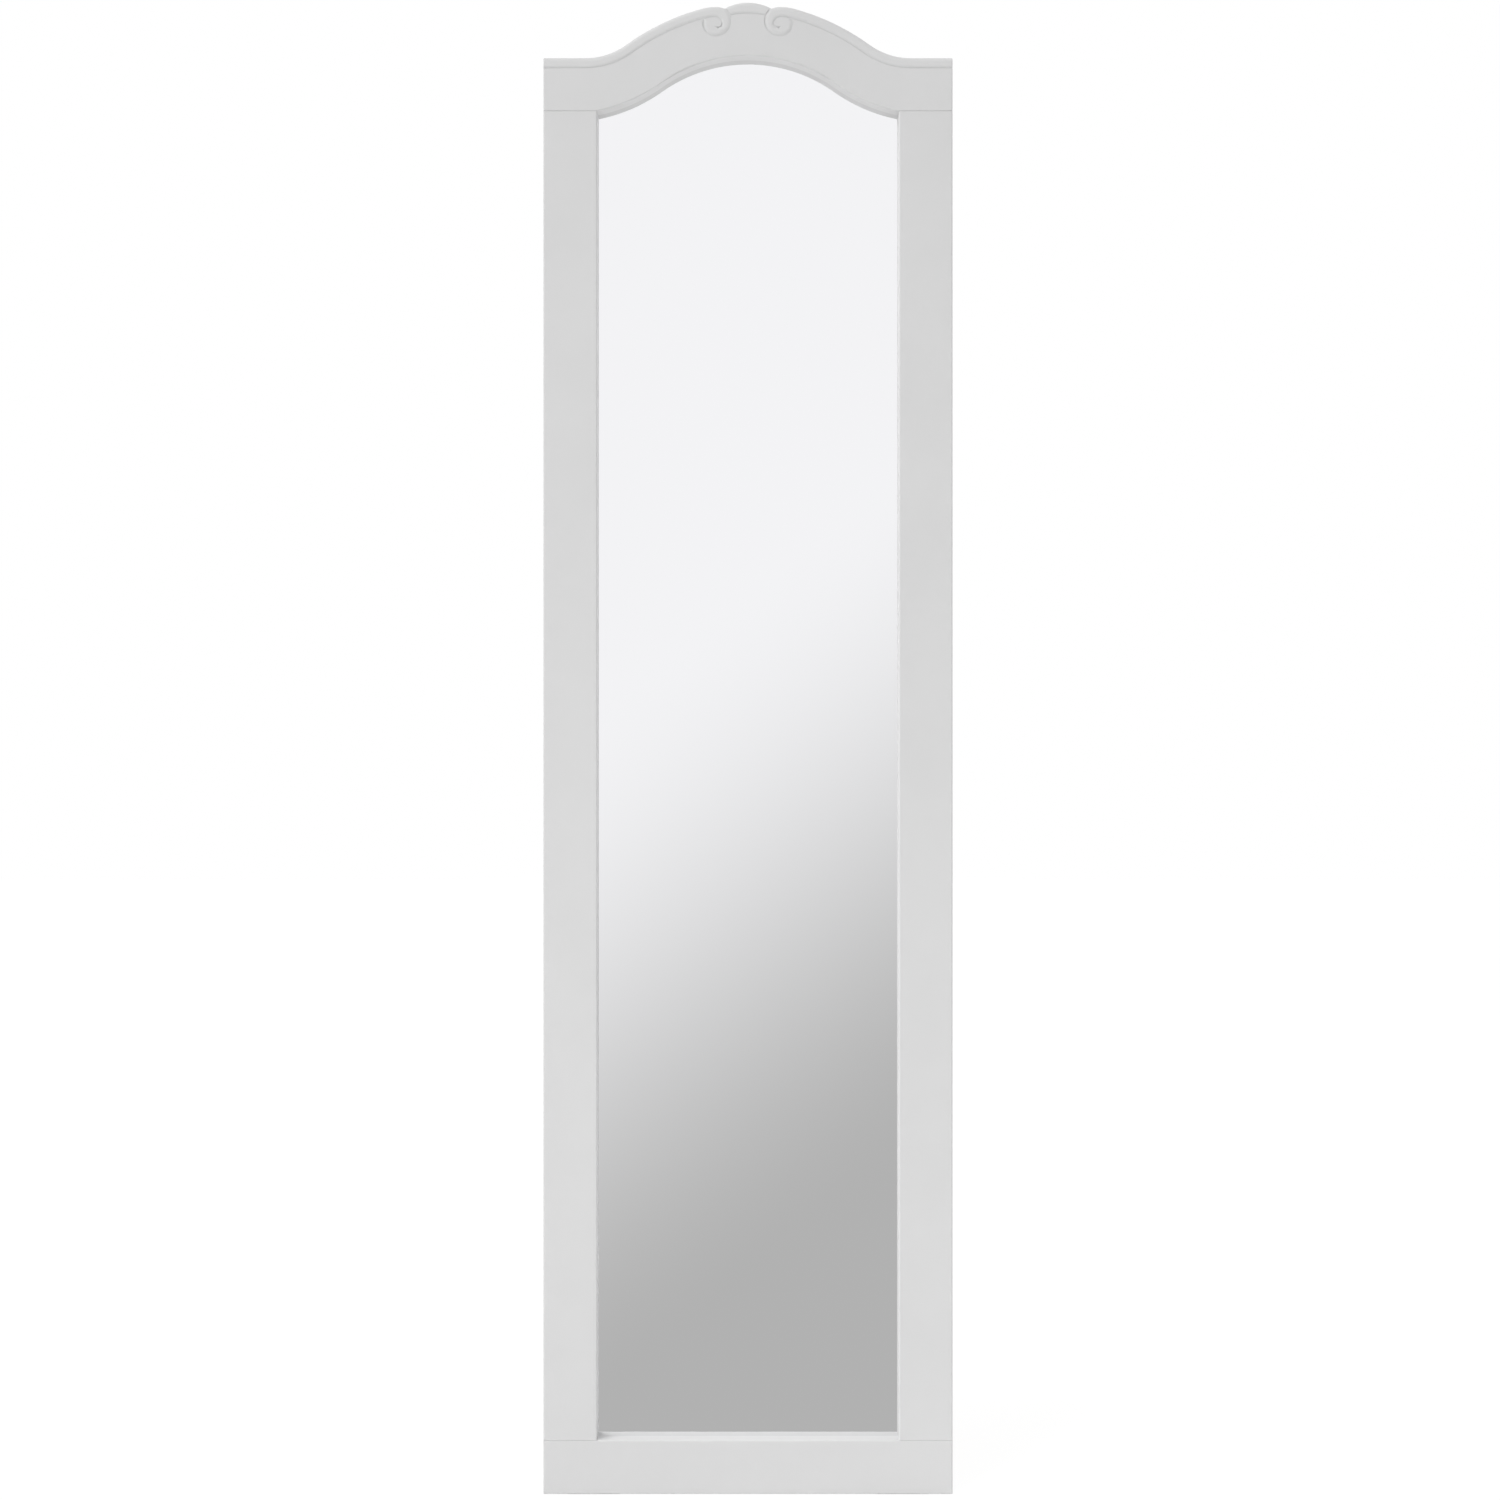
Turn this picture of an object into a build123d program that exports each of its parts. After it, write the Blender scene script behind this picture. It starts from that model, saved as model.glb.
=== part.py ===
from build123d import *
import os
from math import cos, radians, sin, sqrt

# A full-length leaner mirror: a painted frame of two stiles and two rails round an arched mirror.
# Millimetres. X runs to the right, Y to the back and Z up, with the origin on the floor, under the
# middle of the whole mirror. Every piece is drawn on a bench plane that lies in the frame's face:
# x to the right, y up the mirror and z out of the face, so what lies behind the face has a negative z.

# Frame members, as seen from the front
frame_width = 450.0
frame_height = 1640.0
crest_rise = 61.0
stile_width = 59.0
bottom_rail_width = 59.0
shoulder_width = 59.0
front_round = 1.5
back_round = 1.0
corner_round = 2.0

# Arched opening: a round crown, then a hollow curve that runs into the corner
opening_rise = 61.0
crown_radius = 165.0
crown_sweep = 35.3

# Outline of the crest, from the scroll's top outwards and inwards: radii, and turns in degrees
scroll_offset = 36.0
scroll_drop = 4.7
scroll_nose_radius = 30.0
scroll_nose_sweep = 20.0
scroll_back_radius = 57.0
scroll_back_sweep = 15.2
ogee_radius = 255.0
ogee_sweep = 20.7

# Carving on the top rail: the band, the quirk under it, and the volutes' spiral arcs
band_width = 11.4
band_roll = 4.5
band_roll_depth = 2.0
quirk_roll = 3.2
quirk_depth = 1.0
groove_floor = 0.9
volute_entry_turn = 16.0
volute_arcs = ((17.3, 54.0), (16.8, 90.0), (13.8, 90.0), (12.0, 28.0))
curl_arcs = ((7.6, 90.0), (4.0, 100.0))
curl_fade = 4.0
crest_band_width = 12.2
crest_quirk_radius = 90.0
crest_quirk_sweep = 12.8

# Layers behind the frame's front lip
lip_thickness = 13.0
glass_thickness = 4.0
packing_thickness = 1.5
board_thickness = 3.0
board_recess = 0.5
glass_lap = 6.0
glass_crown_lap = 7.0
glass_arch_radius = 290.0
glass_gap = 2.0

# Setting blocks under the glass and shims beside it
block_length = 60.0
block_spread = 220.0
shim_length = 50.0
shim_low = 300.0
shim_high = 1180.0

# Dowels in the four corner joints
dowel_diameter = 8.0
dowel_length = 40.0
dowel_spacing = 28.0
dowel_end_gap = 1.0
dowel_fit = 0.05
dowel_chamfer = 0.8

# Pan-head screws, with a cross recess
screw_diameter = 3.0
screw_length = 13.0
screw_point = 3.0
screw_fit = 0.05
screw_head_diameter = 6.4
screw_head_height = 2.0
recess_width = 0.8
recess_span = 3.8
recess_depth = 1.2

# Turn buttons
button_reach = 19.0
button_hub_radius = 6.5
button_nose_radius = 4.5
button_thickness = 1.2
button_lift = 0.3
button_boss_radius = 4.4
button_tab_height = 3.0
button_play = 0.1
button_setback = 8.0
buttons_per_stile = 4

# D-ring hangers
hanger_drop = 70.0
strap_width = 14.0
strap_thickness = 1.0
strap_first_screw = 25.0
strap_screw_spacing = 13.0
strap_tail = 7.0
ring_wire = 2.5
ring_half_width = 11.5
ring_leg = 4.5
ring_corner = 3.0
ring_fit = 0.05
ring_gap = 0.4

# Bumpers that touch the wall, and pads that wrap the foot of the back and touch floor and wall
bumper_diameter = 18.0
bumper_thickness = 6.0
bumper_round = 1.2
bumper_inset = 24.0
pad_length = 60.0
pad_thickness = 1.0
pad_inset = 3.0
pad_heel_height = 16.0
pad_spread = 340.0
pad_corner = 2.5
pad_round = 1.2

# Sizes that follow from the ones above
rebate_depth = glass_thickness + packing_thickness + board_thickness + board_recess
frame_thickness = lip_thickness + rebate_depth
overall_depth = frame_thickness + bumper_thickness
half_width = frame_width / 2
opening_half = half_width - stile_width
base = pad_thickness
sill = base + bottom_rail_width
crest_top = base + frame_height
shoulder = crest_top - crest_rise
joint = shoulder - shoulder_width
crown = joint + opening_rise
glass_half = opening_half + glass_lap
glass_bottom = sill - glass_lap
glass_crown = crown + glass_crown_lap
pocket_half = glass_half + glass_gap
pocket_bottom = glass_bottom - glass_gap
pocket_crown = glass_crown + glass_gap
packing_face = lip_thickness + glass_thickness
board_face = packing_face + packing_thickness
hanger_x = half_width - stile_width / 2
hanger_height = joint - hanger_drop
knuckle_height = strap_thickness + ring_gap + ring_wire / 2
knuckle_bore = ring_wire / 2 + ring_fit
scroll_top = crest_top - scroll_drop

bench = Plane.XZ.offset(overall_depth / 2)
out = Vector(0, 0, 1)
hang_down = (Align.CENTER, Align.CENTER, Align.MAX)
stand_up = (Align.CENTER, Align.CENTER, Align.MIN)


def tangent_arcs(start, heading, arcs):
    """Arcs that each leave the one before at its tangent; a positive turn goes left."""
    edges = []
    point = Vector(*start)
    direction = Vector(cos(radians(heading)), sin(radians(heading)))
    for radius, turn in arcs:
        arc = JernArc(point, direction, radius, turn)
        edges.append(arc)
        point = arc @ 1
        direction = arc % 1
    return edges


def both_sides(curves):
    """The curves' edges with their mirror images across the middle of the frame."""
    edges = [edge for curve in curves for edge in curve.edges()]
    return edges + [edge.mirror(Plane.YZ) for edge in edges]


def shoulder_curve(offset):
    """Outline's right half from the scroll's top out to the shoulder, moved in by an offset."""
    convex = [
        (scroll_back_radius - offset, -scroll_back_sweep),
        (ogee_radius - offset, -ogee_sweep),
    ]
    curve = tangent_arcs((scroll_offset, scroll_top - offset), 0, convex)
    foot = curve[-1] @ 1
    slope = scroll_back_sweep + ogee_sweep
    hollow_radius = (foot.Y - shoulder + offset) / (1 - cos(radians(slope)))
    return curve + tangent_arcs((foot.X, foot.Y), -slope, [(hollow_radius, slope)])


def scroll_nose():
    """Arc from the top of the right scroll to the notch beside the centre crest."""
    return tangent_arcs((scroll_offset, scroll_top), 180, [(scroll_nose_radius, scroll_nose_sweep)])[0]


def crest_arc():
    """Arc of the centre crest, from the right notch to the left one."""
    notch = scroll_nose() @ 1
    return ThreePointArc(notch, (0, crest_top), (-notch.X, notch.Y))


def crest_quirk():
    """Arc under the centre crest's band, from the right volute to the left one."""
    sweep_angle = radians(crest_quirk_sweep)
    reach = crest_quirk_radius * sin(sweep_angle)
    fall = crest_quirk_radius * (1 - cos(sweep_angle))
    top = crest_top - crest_band_width
    return ThreePointArc((reach, top - fall), (0, top), (-reach, top - fall))


def volute_outline():
    """Spiral round the right volute, from the notch to the underside of the band."""
    notch = scroll_nose() @ 1
    heading = 180 + scroll_nose_sweep + volute_entry_turn
    return tangent_arcs((notch.X, notch.Y), heading, volute_arcs)


def opening_curve():
    """Right half of the opening's top, from the crown down to the corner."""
    inner = tangent_arcs((0, crown), 0, [(crown_radius, -crown_sweep)])[0]
    hollow = TangentArc(inner @ 1, Vector(opening_half, joint), tangent=inner % 1)
    return [inner, hollow]


def block(x_span, y_span, z_span):
    """Box between two values on each axis."""
    size = [high - low for low, high in (x_span, y_span, z_span)]
    return Pos(x_span[0], y_span[0], z_span[0]) * Box(*size, align=Align.MIN)


def arched_sheet(grow, depth, thickness):
    """Sheet of the glass's outline, grown all round, lying at a depth behind the face."""
    half = glass_half + grow
    radius = glass_arch_radius + grow
    low = glass_bottom - grow
    top = glass_crown + grow
    spring = top - radius + sqrt(radius**2 - half**2)
    sides = Polyline((-half, spring), (-half, low), (half, low), (half, spring))
    arch = ThreePointArc((half, spring), (0, top), (-half, spring))
    return Pos(0, 0, -depth) * extrude(make_face([sides, arch]), -thickness)


def moulding_cutter(path, band_on_left, roll, depth):
    """Cutter along a path: a narrow flat floor beside it, then a curve that rises onto the band."""
    side = 1 if band_on_left else -1
    heading = (path % 0).normalized()
    across = out.cross(heading) * side
    plane = Plane(origin=path @ 0, x_dir=across, z_dir=heading * side)
    walls = Polyline((0, -depth), (-groove_floor, -depth), (-groove_floor, 1), (roll, 1), (roll, 0))
    rise = TangentArc((roll, 0), (0, -depth), tangent=(-1, 0))
    return sweep(plane * make_face([walls, rise]), path=path)


def carving_path(offset, finish):
    """Path along the band, moved in by an offset: from beyond the shoulder's end to a finish."""
    run = shoulder_curve(offset)
    lead = Line((half_width + 1, shoulder - offset), run[-1] @ 1)
    return Wire([lead] + run[::-1] + finish)


def curl_fade_path(curl):
    """Last stretch of the inner curl, which climbs out to the face and dies away."""
    end = curl[-1] @ 1
    heading = (curl[-1] % 1).normalized()
    return Wire([Line(end, end + heading * curl_fade + out * quirk_depth)])


def carve(rail):
    """Cut the band, its quirk and the volutes on the right, and their mirror images on the left."""
    curl = tangent_arcs((scroll_offset, scroll_top - band_width), 180, curl_arcs)
    halves = [
        moulding_cutter(carving_path(0, [scroll_nose()]), True, band_roll, band_roll_depth),
        moulding_cutter(Wire(volute_outline()), True, band_roll, quirk_depth),
        moulding_cutter(carving_path(band_width, curl), False, quirk_roll, quirk_depth),
        moulding_cutter(curl_fade_path(curl), False, quirk_roll, quirk_depth),
    ]
    for cutter in halves:
        rail -= cutter
        rail -= mirror(cutter, about=Plane.YZ)
    rail -= moulding_cutter(Wire([crest_arc()]), True, band_roll, band_roll_depth)
    return rail - moulding_cutter(Wire([crest_quirk()]), False, quirk_roll, quirk_depth)


def dowel_planes():
    """Mid-planes of the dowels, where each one crosses its joint."""
    centre = (pocket_half + half_width) / 2
    places = []
    for height in (sill, joint):
        for x in (centre - dowel_spacing / 2, centre + dowel_spacing / 2):
            for side in (-1, 1):
                places.append(Plane((side * x, height, -frame_thickness / 2), z_dir=(0, 1, 0)))
    return places


def back_plane(x, height, x_dir):
    """Plane on the frame's back, facing backwards."""
    return Plane(origin=(x, height, -frame_thickness), x_dir=x_dir, z_dir=-out)


def button_planes():
    """Each turn button's name and its plane, whose x points to the nose."""
    step = (joint - sill) / buttons_per_stile
    x = pocket_half + button_setback
    planes = {}
    for name, side in (("left", -1), ("right", 1)):
        for index in range(buttons_per_stile):
            height = sill + (index + 0.5) * step
            planes[f"turn_button_{name}_{index + 1}"] = back_plane(side * x, height, (-side, 0, 0))
    planes["turn_button_top"] = back_plane(0, pocket_crown + button_setback, (0, -1, 0))
    planes["turn_button_bottom"] = back_plane(0, pocket_bottom - button_setback, (0, 1, 0))
    return planes


def button_screw_planes():
    """Planes under the heads of the turn buttons' screws."""
    seat = button_lift + button_thickness + button_play
    return [plane.offset(seat) for plane in button_planes().values()]


def hanger_plane(side):
    """Plane of a D-ring hanger, whose y points down from the ring's bar."""
    return back_plane(side * hanger_x, hanger_height, (1, 0, 0))


def strap_screw_planes():
    """Planes under the heads of the strap plates' screws."""
    planes = []
    for side in (-1, 1):
        for step in (0, 1):
            drop = strap_first_screw + step * strap_screw_spacing
            back = back_plane(side * hanger_x, hanger_height - drop, (1, 0, 0))
            planes.append(back.offset(strap_thickness))
    return planes


def bored(solid):
    """The frame member with its dowel bores and the screws' pilot holes."""
    bore = Cylinder(dowel_diameter / 2 + dowel_fit, dowel_length + 2 * dowel_end_gap)
    for plane in dowel_planes():
        solid -= plane * bore
    pilot = Cylinder(screw_diameter / 2 + screw_fit, screw_length + screw_fit, align=hang_down)
    for plane in button_screw_planes() + strap_screw_planes():
        solid -= plane * pilot
    return solid


def corner_trim(side):
    """What rounding takes off one of the board's square top corners."""
    x, y = half_width - corner_round, shoulder - corner_round
    square = block((x, half_width + 1), (y, shoulder + 1), (-frame_thickness, 0))
    trim = square - Pos(x, y) * Cylinder(corner_round, 3 * frame_thickness)
    return trim if side > 0 else mirror(trim, about=Plane.YZ)


def top_rail():
    outline = shoulder_curve(0)
    silhouette = both_sides(outline + [scroll_nose()]) + [crest_arc()]
    side = Polyline(outline[-1] @ 1, (half_width, shoulder), (half_width, joint), (opening_half, joint))
    face = make_face(silhouette + both_sides([side] + opening_curve()))
    rail = extrude(face, -frame_thickness)
    below = Polyline((opening_half, joint), (half_width, joint), (half_width, shoulder))
    uncarved = both_sides(opening_curve() + [below])
    sight_edges = []
    for edge in rail.edges().filter_by_position(Axis.Z, -0.01, 0.01):
        if min(curve.distance_to(edge @ 0.5) for curve in uncarved) < 0.01:
            sight_edges.append(edge)
    rail = fillet(sight_edges, front_round)
    for side in (-1, 1):
        rail -= corner_trim(side)
    rail = carve(rail)
    rail -= arched_sheet(glass_gap, lip_thickness, rebate_depth)
    return bored(rail)


def bottom_rail():
    rail = block((-half_width, half_width), (base, sill), (-frame_thickness, 0))
    rail = fillet(rail.edges().filter_by_position(Axis.Z, -0.01, 0.01), front_round)
    low_back = rail.edges().group_by(Axis.Z)[0].group_by(Axis.Y)[0]
    rail = fillet(low_back, back_round)
    rail -= arched_sheet(glass_gap, lip_thickness, rebate_depth)
    return bored(rail)


def right_stile():
    stile = block((opening_half, half_width), (sill, joint), (-frame_thickness, 0))
    uprights = stile.edges().filter_by(Axis.Y)
    stile = fillet(uprights.group_by(Axis.Z)[-1], front_round)
    outer_back = stile.edges().filter_by(Axis.Y).group_by(Axis.Z)[0].group_by(Axis.X)[-1]
    stile = fillet(outer_back, back_round)
    stile -= block((opening_half - 1, pocket_half), (sill, joint), (-frame_thickness, -lip_thickness))
    return bored(stile)


def corner_dowels():
    dowel = Cylinder(dowel_diameter / 2, dowel_length)
    dowel = chamfer(dowel.edges(), dowel_chamfer)
    return [plane * dowel for plane in dowel_planes()]


def setting_blocks():
    depth = (-packing_face, -lip_thickness)
    height = (pocket_bottom, glass_bottom)
    centres = (-block_spread / 2, block_spread / 2)
    return [block((x - block_length / 2, x + block_length / 2), height, depth) for x in centres]


def side_shims():
    depth = (-packing_face, -lip_thickness)
    shims = []
    for low in (sill + shim_low, sill + shim_high):
        shim = block((glass_half, pocket_half), (low, low + shim_length), depth)
        shims += [shim, mirror(shim, about=Plane.YZ)]
    return shims


def screw():
    """Screw with its head on the plane and its shank below."""
    neck = screw_diameter / 2
    rim = screw_head_diameter / 2
    crown_point = (0, screw_head_height)
    dome = ThreePointArc((rim, 0), (rim * 0.75, screw_head_height * 0.75), crown_point)
    shank = Polyline((rim, 0), (neck, 0), (neck, screw_point - screw_length), (0, -screw_length), crown_point)
    body = revolve(Plane.XZ * make_face([dome, shank]), Axis.Z)
    for width, span in ((recess_width, recess_span), (recess_span, recess_width)):
        body -= Pos(0, 0, screw_head_height) * Box(width, span, 2 * recess_depth)
    return body


def turn_button():
    """Button lying on the plane, with its pivot at the origin and its nose along x."""
    nose = Pos(button_reach - button_nose_radius, 0) * Circle(button_nose_radius)
    blade = make_hull(Circle(button_hub_radius).edges() + nose.edges())
    plate = Pos(0, 0, button_lift) * extrude(blade, button_thickness)
    boss = Cylinder(button_boss_radius, button_lift, align=stand_up)
    strip = Pos(button_reach, 0) * Rectangle(2 * button_thickness, 2 * button_nose_radius)
    tab = Pos(0, 0, button_lift) * extrude(blade & strip, button_tab_height)
    hole = Cylinder(screw_diameter / 2 + screw_fit, 4 * button_thickness)
    return plate + boss + tab - hole


def strap_plate():
    """Strap that hangs along y, rolled round the ring's bar, whose axis passes above the origin."""
    length = strap_first_screw + strap_screw_spacing + strap_tail
    blank = Pos(0, length / 2) * Rectangle(strap_width, length)
    blank = fillet(blank.vertices().group_by(Axis.Y)[-1], strap_width / 2.2)
    axis = Pos(0, 0, knuckle_height) * Rot(0, 90, 0)
    plate = extrude(blank, strap_thickness) + axis * Cylinder(knuckle_bore + strap_thickness, strap_width)
    plate -= axis * Cylinder(knuckle_bore, 2 * strap_width)
    for step in (0, 1):
        y = strap_first_screw + step * strap_screw_spacing
        plate -= Pos(0, y) * Cylinder(screw_diameter / 2 + screw_fit, 4 * strap_thickness)
    return plate


def d_ring():
    """Wire ring that hangs along y from its straight bar."""
    bar = Line((ring_corner - ring_half_width, 0), (ring_half_width - ring_corner, 0))
    corner = tangent_arcs((ring_half_width - ring_corner, 0), 0, [(ring_corner, 90)])[0]
    leg = Line(corner @ 1, (ring_half_width, ring_corner + ring_leg))
    top = ring_corner + ring_leg
    bow = ThreePointArc((ring_half_width, top), (0, top + ring_half_width), (-ring_half_width, top))
    path = Wire([bar, bow] + both_sides([corner, leg]))
    section = Plane(origin=path @ 0, z_dir=path % 0) * Circle(ring_wire / 2)
    return Pos(0, 0, knuckle_height) * sweep(section, path=path)


def wall_bumpers():
    bumper = Cylinder(bumper_diameter / 2, bumper_thickness, align=stand_up)
    bumper = fillet(bumper.edges().group_by(Axis.Z)[-1], bumper_round)
    x = half_width - bumper_inset
    return [back_plane(side * x, shoulder - bumper_inset, (1, 0, 0)) * bumper for side in (-1, 1)]


def foot_pads():
    """Pads with a sole under the bottom rail and a heel behind it, as thick as the wall bumpers."""
    length = (-pad_length / 2, pad_length / 2)
    pad = block(length, (0, pad_thickness), (-overall_depth, -pad_inset))
    pad += block(length, (0, pad_thickness + pad_heel_height), (-overall_depth, -frame_thickness))
    uprights = pad.edges().filter_by(Axis.Y).group_by(Axis.Z)
    pad = fillet(uprights[0] + uprights[-1], pad_corner)
    top = pad.edges().group_by(Axis.Y)[-1]
    pad = fillet([edge for edge in top if (edge @ 0.5).Z < -frame_thickness - 0.01], pad_round)
    return [Pos(x, 0, 0) * pad for x in (-pad_spread / 2, pad_spread / 2)]


def pieces():
    """Every node's name with its solids, all on the bench plane."""
    stile = right_stile()
    nodes = {
        "top_rail": [top_rail()],
        "bottom_rail": [bottom_rail()],
        "right_stile": [stile],
        "left_stile": [mirror(stile, about=Plane.YZ)],
        "corner_dowels": corner_dowels(),
        "mirror_glass": [arched_sheet(0, lip_thickness, glass_thickness)],
        "packing_sheet": [arched_sheet(0, packing_face, packing_thickness)],
        "backboard": [arched_sheet(0, board_face, board_thickness)],
        "setting_blocks": setting_blocks(),
        "side_shims": side_shims(),
        "turn_button_screws": [plane * screw() for plane in button_screw_planes()],
        "strap_screws": [plane * screw() for plane in strap_screw_planes()],
        "wall_bumpers": wall_bumpers(),
        "foot_pads": foot_pads(),
    }
    for name, plane in button_planes().items():
        nodes[name] = [plane * turn_button()]
    for name, side in (("left", -1), ("right", 1)):
        nodes[f"{name}_strap_plate"] = [hanger_plane(side) * strap_plate()]
        nodes[f"{name}_d_ring"] = [hanger_plane(side) * d_ring()]
    return nodes


os.makedirs("parts", exist_ok=True)
for name, group in pieces().items():
    solids = [bench * solid for part in group for solid in part.solids()]
    export_step(Compound(children=solids), f"parts/{name}.step")
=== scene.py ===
from math import pi, radians

import bpy
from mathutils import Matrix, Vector

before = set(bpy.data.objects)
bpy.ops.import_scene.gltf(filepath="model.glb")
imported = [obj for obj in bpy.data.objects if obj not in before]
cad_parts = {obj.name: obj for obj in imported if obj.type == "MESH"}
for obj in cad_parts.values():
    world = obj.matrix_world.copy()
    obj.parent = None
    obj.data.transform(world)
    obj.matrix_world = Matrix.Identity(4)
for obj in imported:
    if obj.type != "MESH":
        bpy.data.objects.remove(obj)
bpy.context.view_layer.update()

# A full-length leaner mirror in a painted frame. The CAD pieces keep their shapes, and this script
# gives them their finishes, the light, the floor and the camera. Metres, +Z up, the wall at +Y.

# Camera: level, square to the frame's face
CAMERA_SPOT = (0.00225, -1.914, 0.8189)
VIEW_WIDTH = 1.6485
VIEW_DISTANCE = 1.9
SENSOR_WIDTH = 36.0

# Light levels: fill from all round, sun, lamps, and what the mirror throws back on the paint
FILL_STRENGTH = 0.585
SUN_STRENGTH = 1.49
LOW_WATTS = 0.62
LEFT_WATTS = 3.07
BOUNCE_STRENGTH = 1.593
REAR_WATTS = 45.0
SUN_DIRECTION = (-0.58, -0.43, 0.69)
SUN_ANGLE = 30.0

# What mirror and metal see round them: bluish white above, grey below, with a soft slanting edge.
# SEEN_LOW and SEEN_HIGH are the slopes where the edge ends, and SEEN_FLOOR those where it lightens again.
SEEN_SLANT = 0.75
SEEN_LOW = -0.3136
SEEN_HIGH = 0.0993
SEEN_GREY = 0.49
SEEN_WHITE = 1.015
SEEN_TINT = (0.982, 0.982, 1.000)
SEEN_LEAST_DEPTH = 0.35
SEEN_SLANT_REACH = 0.12
SEEN_FLOOR = (0.5, 1.6)
SEEN_FLOOR_LIFT = 0.16

# Places on the object that the finishes follow
BACK_FACE = 0.008
GLASS_FRONT = -0.001
HALF_WIDTH = 0.225

# Sizes of the finishes' patterns
SCREEN_PITCH = 0.0017
FLUTE_PITCH = 0.006
OVERSPRAY_WIDTH = 0.009
EDGE_ROUND = 0.001

# Floor: half its side, its grey, and the share and strength of its white glow to the camera
FLOOR_HALF = 9.0
FLOOR_GREY = 0.86
GLOW_SHARE = 0.86
GLOW_STRENGTH = 1.05


class Tree:
    """Short calls for one material's or world's nodes."""

    def __init__(self, owner):
        owner.use_nodes = True
        self.nodes = owner.node_tree.nodes
        self.links = owner.node_tree.links
        self.nodes.clear()

    def feed(self, socket, value):
        if isinstance(value, bpy.types.NodeSocket):
            self.links.new(value, socket)
        else:
            socket.default_value = value

    def add(self, kind, inputs=None, **settings):
        node = self.nodes.new(kind)
        for key, value in settings.items():
            setattr(node, key, value)
        for key, value in (inputs or {}).items():
            self.feed(node.inputs[key], value)
        return node

    def math(self, operation, first, second=0.0):
        return self.add("ShaderNodeMath", {0: first, 1: second}, operation=operation).outputs[0]

    def smooth(self, value, start, end, low=0.0, high=1.0):
        """Value eased from low to high between start and end."""
        inputs = {"Value": value, "From Min": start, "From Max": end, "To Min": low, "To Max": high}
        return self.add("ShaderNodeMapRange", inputs, interpolation_type="SMOOTHSTEP").outputs[0]

    def blend(self, factor, first, second):
        """Colour mixed from the first to the second."""
        node = self.add("ShaderNodeMix", {0: factor}, data_type="RGBA")
        for index, colour in ((6, first), (7, second)):
            value = colour if isinstance(colour, bpy.types.NodeSocket) else (*colour, 1.0)
            self.feed(node.inputs[index], value)
        return node.outputs[2]

    def place(self):
        return self.add("ShaderNodeTexCoord").outputs["Object"]

    def noise(self, scale, detail=2.0, stretch=(1.0, 1.0, 1.0), roughness=0.5):
        """Noise in object space, with its features drawn out along an axis by a small stretch."""
        mapped = self.add("ShaderNodeMapping", {"Vector": self.place(), "Scale": stretch})
        inputs = {"Vector": mapped.outputs[0], "Scale": scale, "Detail": detail, "Roughness": roughness}
        return self.add("ShaderNodeTexNoise", inputs).outputs[0]

    def bump(self, height, distance, strength=1.0):
        inputs = {"Strength": strength, "Distance": distance, "Height": height}
        return self.add("ShaderNodeBump", inputs).outputs[0]

    def principled(self, **inputs):
        named = {key.replace("_", " "): value for key, value in inputs.items()}
        if not isinstance(named["Base Color"], bpy.types.NodeSocket):
            named["Base Color"] = (*named["Base Color"], 1.0)
        return self.add("ShaderNodeBsdfPrincipled", named).outputs[0]


def material(name, surface):
    made = bpy.data.materials.new(name)
    tree = Tree(made)
    tree.add("ShaderNodeOutputMaterial", {"Surface": surface(tree)})
    return made


def paint(tree):
    """Satin off-white paint with a fine orange peel, and bare fibreboard with overspray on the back."""
    axes = tree.add("ShaderNodeSeparateXYZ", {0: tree.place()}).outputs
    fibre = tree.noise(700.0, 4.0, (1.0, 1.0, 0.6), 0.65)
    cloud = tree.noise(9.0, 3.0)
    board = tree.blend(tree.smooth(fibre, 0.3, 0.7), (0.36, 0.25, 0.155), (0.50, 0.37, 0.25))
    across = tree.math("ABSOLUTE", axes["X"])
    side = tree.smooth(across, HALF_WIDTH - OVERSPRAY_WIDTH, HALF_WIDTH - EDGE_ROUND)
    mist = tree.smooth(tree.noise(260.0, 5.0, roughness=0.7), 0.30, 0.62)
    spray = tree.math("MULTIPLY", side, tree.math("ADD", tree.math("MULTIPLY", side, 0.6), mist))
    spray = tree.math("MINIMUM", spray, 1.0)
    back = tree.smooth(axes["Y"], BACK_FACE - 0.0003, BACK_FACE - 0.0001)
    bare = tree.math("MULTIPLY", back, tree.math("SUBTRACT", 1.0, spray))
    coat = tree.blend(tree.smooth(cloud, 0.25, 0.75), (0.670, 0.670, 0.670), (0.688, 0.688, 0.688))
    colour = tree.blend(bare, coat, board)
    sheen = tree.smooth(tree.noise(14.0, 3.0), 0.25, 0.75, 0.40, 0.48)
    rough = tree.math("ADD", sheen, tree.math("MULTIPLY", bare, 0.38))
    peel = tree.math("MULTIPLY", tree.noise(650.0, 2.0), tree.math("SUBTRACT", 1.0, bare))
    grain = tree.math("MULTIPLY", fibre, tree.math("MULTIPLY", bare, 2.5))
    normal = tree.bump(tree.math("ADD", peel, grain), 0.00004, 0.6)
    return tree.principled(Base_Color=colour, Roughness=rough, Normal=normal, Specular_IOR_Level=0.35)


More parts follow.
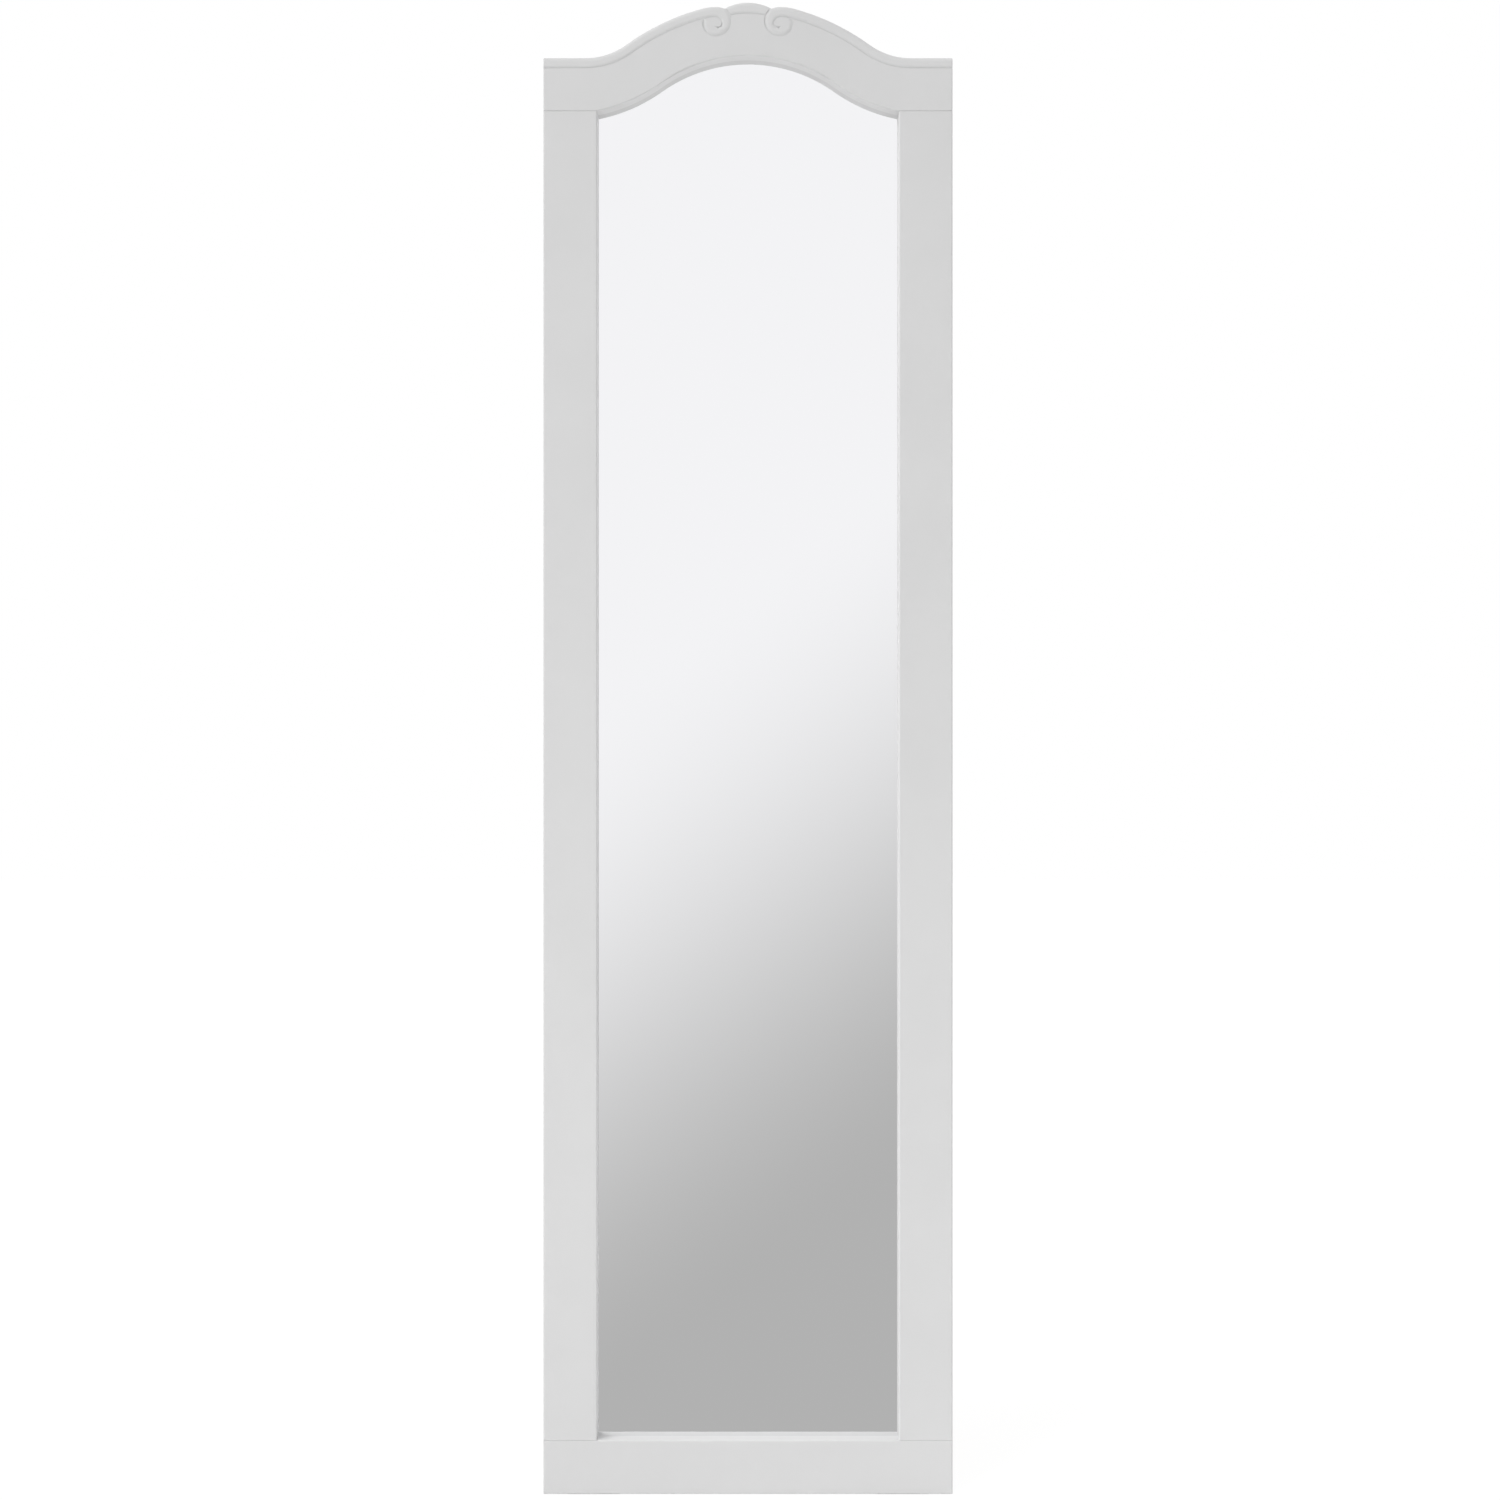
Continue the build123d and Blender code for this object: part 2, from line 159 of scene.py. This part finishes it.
def silvered_glass(tree):
    """Silver behind the front face, and grey backing paint on the sides and back."""
    axes = tree.add("ShaderNodeSeparateXYZ", {0: tree.place()}).outputs
    back = tree.smooth(axes["Y"], GLASS_FRONT + 0.0001, GLASS_FRONT + 0.0003)
    haze = tree.smooth(tree.noise(3.0, 2.0), 0.2, 0.8)
    silver = tree.blend(haze, (0.898, 0.898, 0.898), (0.902, 0.902, 0.902))
    backing = tree.blend(tree.noise(220.0, 3.0), (0.20, 0.22, 0.22), (0.27, 0.29, 0.29))
    return tree.principled(
        Base_Color=tree.blend(back, silver, backing),
        Metallic=tree.math("SUBTRACT", 1.0, back),
        Roughness=tree.math("MULTIPLY", back, 0.45),
    )


def hardboard(tree):
    """Brown hardboard with the screen pattern of its rough side."""
    axes = tree.add("ShaderNodeSeparateXYZ", {0: tree.place()}).outputs
    waves = []
    for axis in ("X", "Z"):
        turn = tree.math("MULTIPLY", axes[axis], 2 * pi / SCREEN_PITCH)
        waves.append(tree.math("SINE", turn))
    screen = tree.math("MULTIPLY", waves[0], waves[1])
    fibre = tree.noise(420.0, 5.0, roughness=0.7)
    stain = tree.smooth(tree.noise(5.0, 4.0), 0.3, 0.7)
    dark = tree.blend(fibre, (0.165, 0.094, 0.050), (0.28, 0.172, 0.099))
    light = tree.blend(fibre, (0.185, 0.108, 0.059), (0.305, 0.190, 0.112))
    height = tree.math("ADD", tree.math("MULTIPLY", screen, 0.5), fibre)
    return tree.principled(
        Base_Color=tree.blend(stain, dark, light),
        Roughness=tree.smooth(fibre, 0.3, 0.7, 0.62, 0.80),
        Normal=tree.bump(height, 0.00012, 0.7),
    )


def metal(low, high, smooth, rough, scale):
    """Plated metal: faint mottling of the plating in colour and gloss, and a fine drawn grain."""
    def surface(tree):
        mottle = tree.noise(scale, 4.0, roughness=0.6)
        grain = tree.noise(1800.0, 2.0)
        return tree.principled(
            Base_Color=tree.blend(tree.smooth(mottle, 0.3, 0.7), low, high),
            Metallic=1.0,
            Roughness=tree.smooth(mottle, 0.3, 0.7, smooth, rough),
            Normal=tree.bump(grain, 0.00001, 0.5),
        )
    return surface


def rubber(low, high, rough):
    """Soft rubber with a dull, faintly uneven skin."""
    def surface(tree):
        cloud = tree.noise(90.0, 3.0)
        return tree.principled(
            Base_Color=tree.blend(cloud, low, high),
            Roughness=tree.smooth(cloud, 0.3, 0.7, rough - 0.06, rough + 0.06),
            Normal=tree.bump(tree.noise(900.0, 2.0), 0.00003, 0.6),
        )
    return surface


def beech(tree):
    """Plain beech, its grain along the dowels."""
    grain = tree.noise(260.0, 4.0, (1.0, 1.0, 0.08), 0.6)
    return tree.principled(
        Base_Color=tree.blend(grain, (0.50, 0.34, 0.20), (0.66, 0.48, 0.31)),
        Roughness=tree.smooth(grain, 0.3, 0.7, 0.55, 0.68),
        Normal=tree.bump(grain, 0.00005, 0.5),
    )


def card(tree):
    """Brown packing card, with faint flutes up the sheet."""
    axes = tree.add("ShaderNodeSeparateXYZ", {0: tree.place()}).outputs
    flute = tree.math("SINE", tree.math("MULTIPLY", axes["X"], 2 * pi / FLUTE_PITCH))
    fibre = tree.noise(500.0, 4.0, roughness=0.7)
    return tree.principled(
        Base_Color=tree.blend(fibre, (0.38, 0.27, 0.16), (0.52, 0.39, 0.25)),
        Roughness=tree.smooth(fibre, 0.3, 0.7, 0.72, 0.85),
        Normal=tree.bump(tree.math("ADD", flute, fibre), 0.00008, 0.5),
    )


def dress():
    """Every CAD piece takes its finish, by the slot listed for it below."""
    zinc = metal((0.55, 0.56, 0.58), (0.66, 0.67, 0.68), 0.26, 0.40, 60.0)
    nickel = metal((0.66, 0.63, 0.58), (0.73, 0.70, 0.65), 0.14, 0.24, 90.0)
    finishes = {
        "frame_paint": material("satin_paint", paint),
        "mirror": material("silvered_glass", silvered_glass),
        "dowel_wood": material("beech", beech),
        "packing_card": material("packing_card", card),
        "backboard": material("hardboard", hardboard),
        "zinc_steel": material("zinc_plate", zinc),
        "nickel_wire": material("nickel_plate", nickel),
        "black_rubber": material("black_rubber", rubber((0.02, 0.02, 0.02), (0.045, 0.045, 0.045), 0.6)),
        "clear_rubber": material("milky_rubber", rubber((0.70, 0.70, 0.68), (0.78, 0.78, 0.76), 0.45)),
    }
    nodes = {
        "frame_paint": ["top_rail", "left_stile", "right_stile", "bottom_rail"],
        "mirror": ["mirror_glass"],
        "dowel_wood": ["corner_dowels"],
        "packing_card": ["packing_sheet"],
        "backboard": ["backboard"],
        "zinc_steel": ["turn_button_screws", "strap_screws", "left_strap_plate", "right_strap_plate",
                       "turn_button_top", "turn_button_bottom"],
        "nickel_wire": ["left_d_ring", "right_d_ring"],
        "black_rubber": ["setting_blocks", "side_shims"],
        "clear_rubber": ["wall_bumpers", "foot_pads"],
    }
    for side in ("left", "right"):
        nodes["zinc_steel"] += [f"turn_button_{side}_{number}" for number in (1, 2, 3, 4)]
    for slot, names in nodes.items():
        for name in names:
            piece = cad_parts[name]
            if not piece.material_slots:
                piece.data.materials.append(finishes[slot])
            for place in piece.material_slots:
                place.material = finishes[slot]


def floor():
    """Pale floor: white to the camera with the object's shadow on it, and left out of reflections."""
    mesh = bpy.data.meshes.new("floor")
    corners = [(x * FLOOR_HALF, y * FLOOR_HALF, 0) for x, y in ((-1, -1), (1, -1), (1, 1), (-1, 1))]
    mesh.from_pydata(corners, [], [(0, 1, 2, 3)])
    plane = bpy.data.objects.new("floor", mesh)
    bpy.context.scene.collection.objects.link(plane)

    def surface(tree):
        path = tree.add("ShaderNodeLightPath").outputs
        grey, white = (*3 * (FLOOR_GREY,), 1.0), (1.0, 1.0, 1.0, 1.0)
        shade = tree.add("ShaderNodeBsdfDiffuse", {"Color": grey}).outputs[0]
        glow = tree.add("ShaderNodeEmission", {"Color": white, "Strength": GLOW_STRENGTH}).outputs[0]
        paper = tree.add("ShaderNodeMixShader", {0: GLOW_SHARE, 1: shade, 2: glow}).outputs[0]
        seen = tree.math("MAXIMUM", path["Is Camera Ray"], path["Is Transmission Ray"])
        lit = tree.add("ShaderNodeMixShader", {0: seen, 1: shade, 2: paper}).outputs[0]
        clear = tree.add("ShaderNodeBsdfTransparent").outputs[0]
        return tree.add("ShaderNodeMixShader", {0: path["Is Glossy Ray"], 1: lit, 2: clear}).outputs[0]

    mesh.materials.append(material("pale_floor", surface))


def surroundings():
    """White to the camera, soft fill light on the object, and the studio that the mirror shows.

    The mirror hides the lamps, so what it throws back on the paint has a strength of its own.
    """
    world = bpy.data.worlds.new("studio")
    bpy.context.scene.world = world
    tree = Tree(world)
    path = tree.add("ShaderNodeLightPath").outputs
    way = tree.add("ShaderNodeTexCoord").outputs["Generated"]
    axes = tree.add("ShaderNodeSeparateXYZ", {0: way}).outputs
    depth = tree.math("MAXIMUM", tree.math("ABSOLUTE", axes["Y"]), SEEN_LEAST_DEPTH)
    aside = tree.math("DIVIDE", axes["X"], depth)
    aside = tree.math("MAXIMUM", tree.math("MINIMUM", aside, SEEN_SLANT_REACH), -SEEN_SLANT_REACH)
    rise = tree.math("DIVIDE", axes["Z"], depth)
    level = tree.math("SUBTRACT", rise, tree.math("MULTIPLY", aside, SEEN_SLANT))
    wall = tree.smooth(level, SEEN_LOW, SEEN_HIGH, SEEN_GREY, SEEN_WHITE)
    near = tree.smooth(tree.math("MULTIPLY", level, -1.0), *SEEN_FLOOR, 0.0, SEEN_FLOOR_LIFT)
    seen = tree.math("ADD", wall, near)
    bounced = tree.math("MINIMUM", path["Diffuse Depth"], 1.0)
    change = tree.math("SUBTRACT", BOUNCE_STRENGTH, seen)
    seen = tree.math("ADD", seen, tree.math("MULTIPLY", bounced, change))
    tint = tree.blend(tree.smooth(level, SEEN_LOW, SEEN_HIGH), (1.0, 1.0, 1.0), SEEN_TINT)
    white = (1.0, 1.0, 1.0, 1.0)
    fill = tree.add("ShaderNodeBackground", {"Color": white, "Strength": FILL_STRENGTH}).outputs[0]
    studio = tree.add("ShaderNodeBackground", {"Color": tint, "Strength": seen}).outputs[0]
    paper = tree.add("ShaderNodeBackground", {"Color": white, "Strength": 1.0}).outputs[0]
    lit = tree.add("ShaderNodeMixShader", {0: path["Is Glossy Ray"], 1: fill, 2: studio}).outputs[0]
    direct = tree.math("MAXIMUM", path["Is Camera Ray"], path["Is Transmission Ray"])
    all_rays = tree.add("ShaderNodeMixShader", {0: direct, 1: lit, 2: paper}).outputs[0]
    tree.add("ShaderNodeOutputWorld", {"Surface": all_rays})


def lamp(name, kind, spot, target, **settings):
    """Lamp that points from its spot to the target and isn't itself seen in the mirror."""
    light = bpy.data.lights.new(name, kind)
    for key, value in settings.items():
        setattr(light, key, value)
    holder = bpy.data.objects.new(name, light)
    holder.location = spot
    holder.rotation_euler = (Vector(target) - Vector(spot)).to_track_quat("-Z", "Y").to_euler()
    holder.visible_glossy = False
    holder.visible_camera = False
    bpy.context.scene.collection.objects.link(holder)


def lamps():
    middle = Vector((0.0, 0.0, 0.8))
    sun_spot = middle + 4 * Vector(SUN_DIRECTION)
    lamp("key", "SUN", sun_spot, middle, energy=SUN_STRENGTH, angle=radians(SUN_ANGLE))
    for name, spot, target, watts, size in (
        ("left", (-1.5, -1.5, 1.3), (0.0, 0.0, 1.0), LEFT_WATTS, 1.0),
        ("low", (-0.1, -0.95, 0.42), (0.0, 0.0, 0.42), LOW_WATTS, 0.7),
        ("rear", (1.7, 2.6, 2.3), (0.0, 0.0, 0.8), REAR_WATTS, 1.6),
    ):
        lamp(name, "AREA", spot, target, energy=watts, shape="DISK", size=size)


def camera():
    lens = bpy.data.cameras.new("camera")
    lens.sensor_width = SENSOR_WIDTH
    lens.lens = SENSOR_WIDTH * VIEW_DISTANCE / VIEW_WIDTH
    lens.clip_start = 0.05
    holder = bpy.data.objects.new("camera", lens)
    holder.location = CAMERA_SPOT
    holder.rotation_euler = (radians(90.0), 0.0, 0.0)
    bpy.context.scene.collection.objects.link(holder)
    bpy.context.scene.camera = holder


bpy.context.scene.view_settings.view_transform = "Standard"
camera()
dress()
floor()
surroundings()
lamps()
